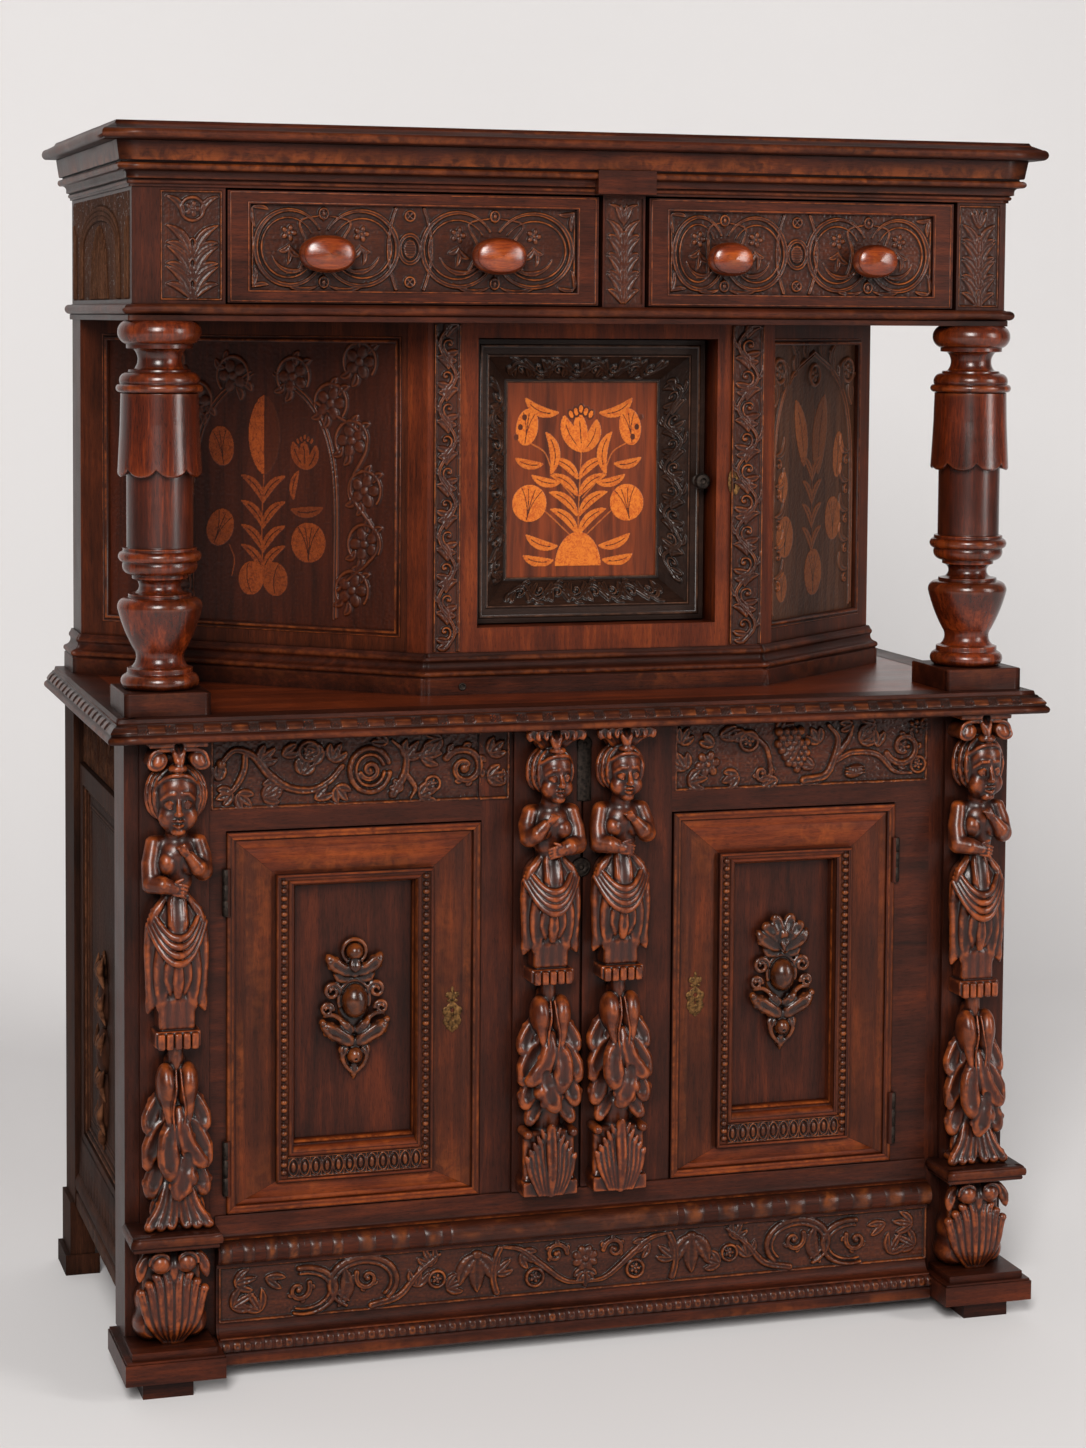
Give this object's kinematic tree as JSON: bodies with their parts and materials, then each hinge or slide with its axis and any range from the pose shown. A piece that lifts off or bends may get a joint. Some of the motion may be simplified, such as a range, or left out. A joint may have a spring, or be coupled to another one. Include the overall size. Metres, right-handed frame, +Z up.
{
  "type": "court cupboard",
  "caption": "Carved and inlaid oak court cupboard: drawers in a canopy on turned columns, a recessed cupboard with splayed sides, and a closed base with doors and term figures.",
  "frame": {"origin": "on the floor, at the centre of the bounding box", "axes": "+X to the right seen from the front, +Y to the back, +Z up; the front faces -Y"},
  "size_m": [1.316, 0.635, 1.65],
  "materials": {
    "oak_case": "waxed",
    "oak_side": "worn",
    "oak_carved": "waxed",
    "walnut_turned": "polished",
    "oak_plain": "raw",
    "marquetry": "polished",
    "ebonised": "waxed",
    "iron": "forged",
    "brass_aged": "tarnished"
  },
  "bodies": {
    "carcase": {"back_post_left": "oak_side", "back_post_right": "oak_side", "base_front": "oak_case", "canopy_rail": "oak_case", "centre_muntin": "oak_case", "column_left": "walnut_turned", "column_right": "walnut_turned", "corbel_left": "oak_carved", "corbel_right": "oak_carved", "corner_base_left": "oak_case", "corner_base_right": "oak_case", "cornice": "oak_case", "cornice_block": "oak_case", "figure_inner_left": "oak_carved", "figure_inner_right": "oak_carved", "figure_outer_left": "oak_carved", "figure_outer_right": "oak_carved", "frieze_left": "oak_case", "frieze_muntin": "oak_case", "frieze_right": "oak_case", "front_post_left": "oak_case", "front_post_right": "oak_case", "lower_back": "oak_plain", "lower_floor": "oak_plain", "lower_frieze_left": "oak_case", "lower_frieze_right": "oak_case", "recess_escutcheon": "brass_aged", "recess_frame": "oak_case", "recess_plinth": "oak_case", "side_wall_left": "oak_side", "side_wall_right": "oak_side", "splay_frame_left": "oak_case", "splay_frame_right": "oak_case", "splay_panel_left": "marquetry", "splay_panel_right": "marquetry", "table_board": "oak_case", "top_board": "oak_case", "upper_back": "oak_plain", "upper_post_left": "oak_case", "upper_post_right": "oak_case"},
    "drawer_left": {"drawer_left_box": "oak_plain", "drawer_left_front": "oak_case", "drawer_left_knob_a": "walnut_turned", "drawer_left_knob_b": "walnut_turned"},
    "drawer_right": {"drawer_right_box": "oak_plain", "drawer_right_front": "oak_case", "drawer_right_knob_a": "walnut_turned", "drawer_right_knob_b": "walnut_turned"},
    "recess_door": {"recess_door_frame": "ebonised", "recess_door_knob": "brass_aged", "recess_door_panel": "marquetry"},
    "door_left": {"door_left_frame": "oak_case", "door_left_key_plate": "iron", "door_left_ornament": "oak_carved", "door_left_panel": "oak_case"},
    "door_right": {"door_right_frame": "oak_case", "door_right_key_plate": "iron", "door_right_ornament": "oak_carved", "door_right_panel": "oak_case"}
  },
  "joints": [
    {"name": "drawer_left_slide", "type": "slide", "parent": "carcase", "child": "drawer_left", "axis": [0, -1, 0], "range_m": [0, 0.3]},
    {"name": "drawer_right_slide", "type": "slide", "parent": "carcase", "child": "drawer_right", "axis": [0, -1, 0], "range_m": [0, 0.3]},
    {"name": "recess_door_hinge", "type": "hinge", "parent": "carcase", "child": "recess_door", "pos_m": [-0.1185, -0.0865, 1.176], "axis": [0, 0, -1], "range_deg": [0, 88]},
    {"name": "door_left_hinge", "type": "hinge", "parent": "carcase", "child": "door_left", "pos_m": [-0.493, -0.2398, 0.473], "axis": [0, 0, -1], "range_deg": [0, 95]},
    {"name": "door_right_hinge", "type": "hinge", "parent": "carcase", "child": "door_right", "pos_m": [0.455, -0.2398, 0.473], "axis": [0, 0, 1], "range_deg": [0, 95]}
  ]
}
